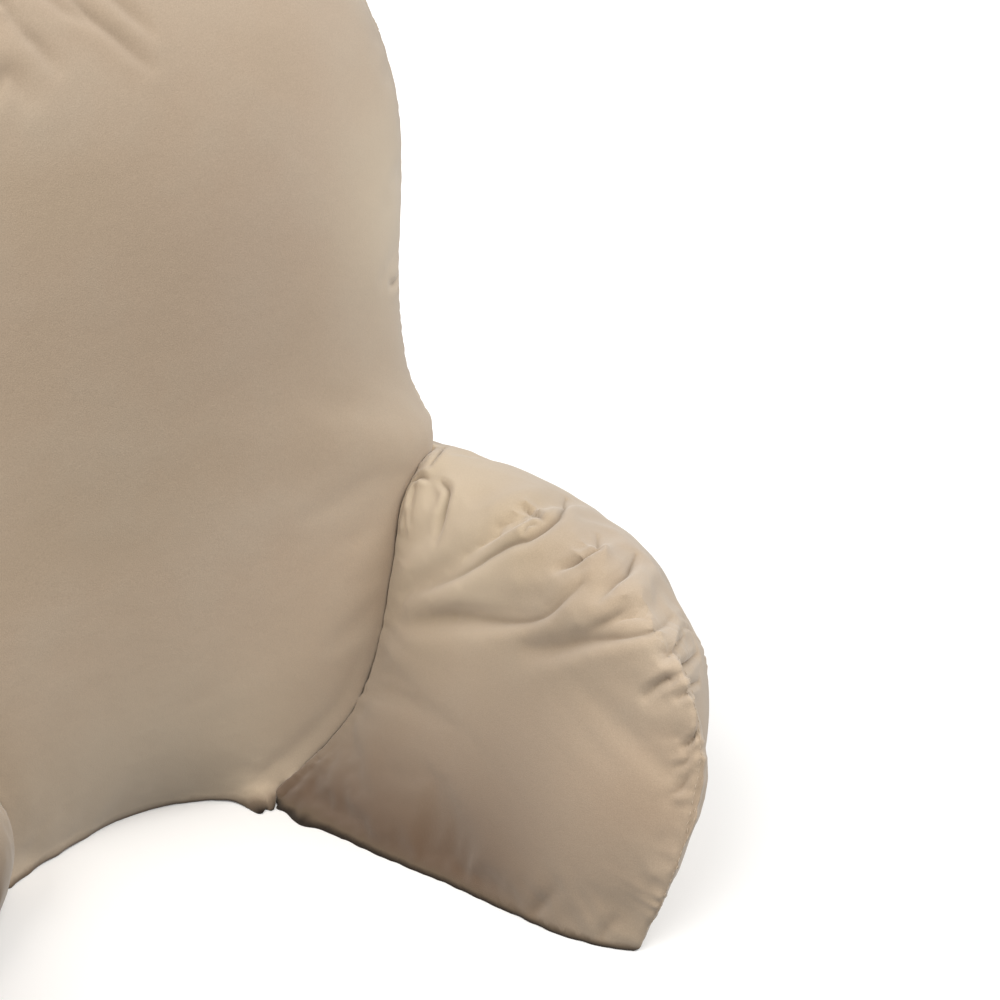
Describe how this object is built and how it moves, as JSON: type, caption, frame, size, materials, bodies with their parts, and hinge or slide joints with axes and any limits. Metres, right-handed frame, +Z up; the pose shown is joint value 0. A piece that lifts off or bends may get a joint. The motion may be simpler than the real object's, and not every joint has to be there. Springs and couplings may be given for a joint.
{
  "type": "backrest pillow",
  "caption": "Upright filled backrest pillow with a rounded top, a flat base and a padded arm reaching forward from each side, covered in short-pile velour.",
  "frame": {"origin": "middle of the bounding box on the floor under the pillow", "axes": "+X across to the right as seen from the front, -Y the way the arms reach, +Z up"},
  "size_m": [0.5842, 0.4382, 0.5466],
  "materials": {
    "back_velour": "short-pile velour, light taupe beige, matt with a pale sheen at grazing edges",
    "arm_velour": "the same short-pile velour, a little warmer where it turns up to the light"
  },
  "bodies": {
    "root": {"back_cushion": "back_velour", "arm_right": "arm_velour", "arm_left": "arm_velour"}
  },
  "joints": []
}
